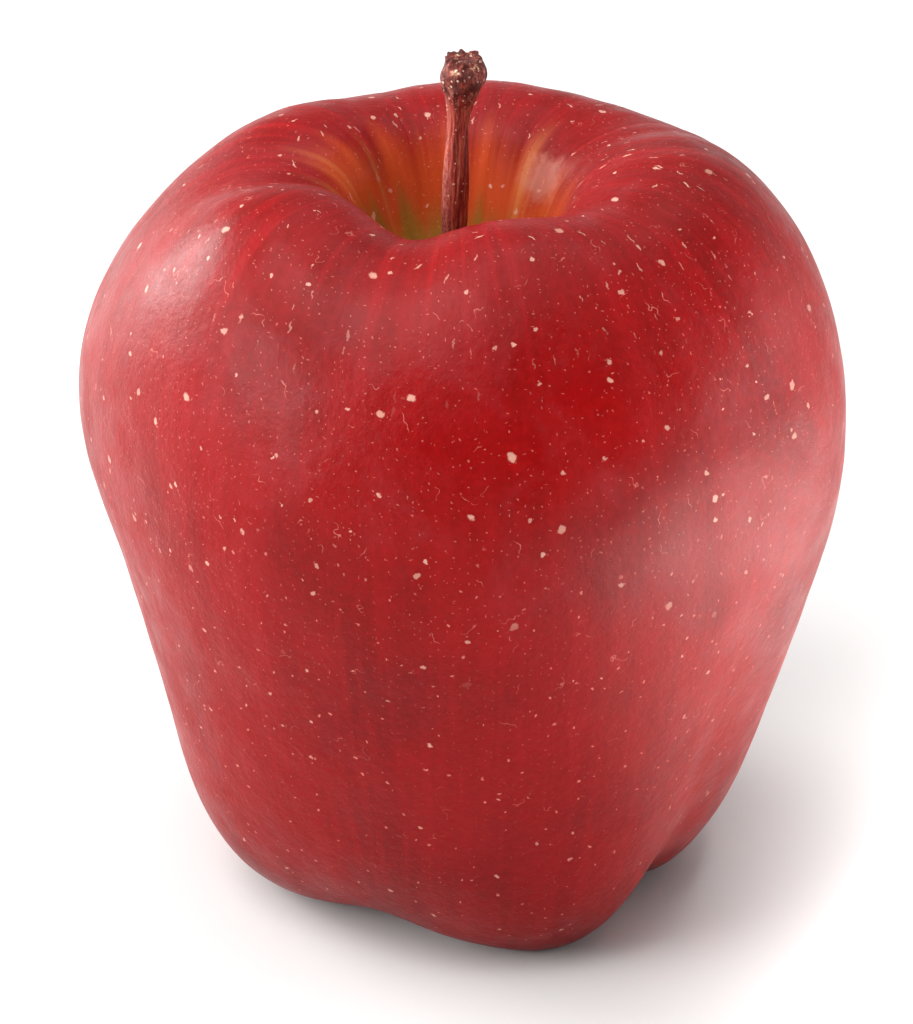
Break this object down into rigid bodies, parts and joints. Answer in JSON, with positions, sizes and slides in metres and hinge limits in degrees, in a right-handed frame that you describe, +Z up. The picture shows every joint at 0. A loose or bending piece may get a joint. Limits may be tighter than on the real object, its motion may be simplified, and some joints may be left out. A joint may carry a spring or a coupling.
{
  "type": "apple",
  "caption": "Tall red dessert apple with five ribs, a deep stem cavity, a woody stem and a dried calyx; stands on its knobbly feet.",
  "frame": {"origin": "on the surface it stands on, under the middle of the fruit's box", "axes": "+Z up the core towards the stem; +X to the right and -Y towards the viewer of its best side"},
  "size_m": [0.0742, 0.0738, 0.0851],
  "materials": {
    "skin": "satin",
    "bark": "matte",
    "husk": "matte"
  },
  "bodies": {
    "root": {"fruit": "skin", "stem": "bark", "sepal_1": "husk", "sepal_2": "husk", "sepal_3": "husk", "sepal_4": "husk", "sepal_5": "husk", "stamen_tuft": "husk"}
  },
  "joints": []
}
